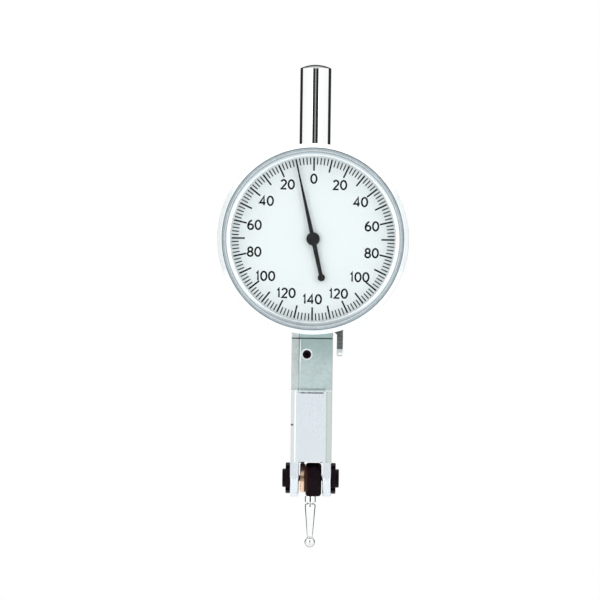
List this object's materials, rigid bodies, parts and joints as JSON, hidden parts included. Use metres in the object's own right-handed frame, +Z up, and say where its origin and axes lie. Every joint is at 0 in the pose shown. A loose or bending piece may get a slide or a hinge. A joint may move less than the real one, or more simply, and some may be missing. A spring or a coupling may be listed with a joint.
{
  "type": "dial test indicator",
  "caption": "Lever-type dial test indicator: straight stem, round rotating dial, slim body and a swivelling ball-tipped stylus in a fork.",
  "frame": {"origin": "on the stem's centre line, halfway along its parallel wall", "axes": "+Z up the stem away from the dial, -Y out of the dial, +X to the dial reader's right"},
  "size_m": [0.037, 0.0164, 0.0937],
  "materials": {
    "satin_chrome": "fine satin chrome plate",
    "bright_chrome": "polished hard chrome",
    "bezel_chrome": "satin chrome, turned",
    "crystal": "clear moulded acrylic",
    "dial_white": "matt white enamel",
    "pointer_black": "matt black paint",
    "gear_brass": "cut and lapped brass",
    "lever_bronze": "ground phosphor bronze",
    "black_steel": "chemically blacked steel",
    "tool_steel": "ground steel",
    "spring_steel": "blued spring steel",
    "ruby": "polished synthetic ruby",
    "carbide": "lapped tungsten carbide",
    "lever_grey": "dark nickel, serrated"
  },
  "bodies": {
    "indicator_body": {"stem": "bright_chrome", "stem_lock_screw": "black_steel", "body_frame": "satin_chrome", "side_cover": "satin_chrome", "side_cover_screws": "tool_steel", "stop_screw": "black_steel", "dial_case": "satin_chrome", "case_screws": "tool_steel", "bezel_spring": "spring_steel", "hairspring": "spring_steel", "hairspring_stud": "gear_brass", "centre_jewels": "ruby", "crown_jewels": "ruby", "sector_bushes": "gear_brass", "movement_bridge": "gear_brass", "bridge_screws": "tool_steel", "centre_cock": "gear_brass", "cock_screw": "tool_steel", "pivot_screws": "black_steel", "lock_nuts": "black_steel"},
    "rotating_bezel": {"bezel": "bezel_chrome", "crystal": "crystal", "dial_plate": "dial_white"},
    "pointer_arbor": {"pointer": "pointer_black", "pointer_hub": "pointer_black", "centre_arbor": "tool_steel", "hairspring_collet": "gear_brass"},
    "crown_wheel": {"crown_gear": "gear_brass", "crown_arbor": "tool_steel"},
    "sector": {"sector_lever": "gear_brass", "sector_shaft": "tool_steel", "spring_peg": "tool_steel"},
    "lever": {"measuring_lever": "lever_bronze", "drive_pin": "tool_steel", "friction_washer": "lever_bronze"},
    "stylus": {"stylus_drum": "black_steel", "stylus_shank": "tool_steel", "contact_ball": "carbide"},
    "changeover": {"changeover_lever": "lever_grey", "changeover_shaft": "tool_steel", "changeover_cap": "tool_steel", "measuring_spring": "spring_steel"}
  },
  "joints": [
    {"name": "pointer_turn", "type": "hinge", "parent": "indicator_body", "child": "pointer_arbor", "pos_m": [0, 0, -0.0237], "axis": [0, 1, 0], "range_deg": [0, 385], "deforming": ["hairspring"]},
    {"name": "crown_wheel_turn", "type": "hinge", "parent": "indicator_body", "child": "crown_wheel", "pos_m": [0, -0.001, -0.0237], "axis": [1, 0, 0], "range_deg": [0, 96.3]},
    {"name": "sector_swing", "type": "hinge", "parent": "indicator_body", "child": "sector", "pos_m": [0, 0.00019, -0.05808], "axis": [1, 0, 0], "range_deg": [-3.48, 0], "deforming": ["measuring_spring"]},
    {"name": "stylus_swing", "type": "hinge", "parent": "indicator_body", "child": "lever", "pos_m": [0, 0.0006, -0.0701], "axis": [1, 0, 0], "range_deg": [0, 1.38], "stiffness_Nm_per_rad": 0.004, "springref_deg": -22.92},
    {"name": "stylus_swivel", "type": "hinge", "parent": "lever", "child": "stylus", "pos_m": [0, 0.0006, -0.0701], "axis": [1, 0, 0], "range_deg": [-110, 110]},
    {"name": "bezel_turn", "type": "hinge", "parent": "indicator_body", "child": "rotating_bezel", "pos_m": [0, 0, -0.0237], "axis": [0, 1, 0], "continuous": true},
    {"name": "changeover_swing", "type": "hinge", "parent": "indicator_body", "child": "changeover", "pos_m": [0, 0.0002, -0.0342], "axis": [1, 0, 0], "range_deg": [0, 30], "deforming": ["measuring_spring"]}
  ],
  "couplings": [
    {"joint": "crown_wheel_turn", "follows": "pointer_turn", "ratio": 0.25},
    {"joint": "sector_swing", "follows": "pointer_turn", "ratio": -0.0090354},
    {"joint": "stylus_swing", "follows": "pointer_turn", "ratio": 0.0035794}
  ]
}
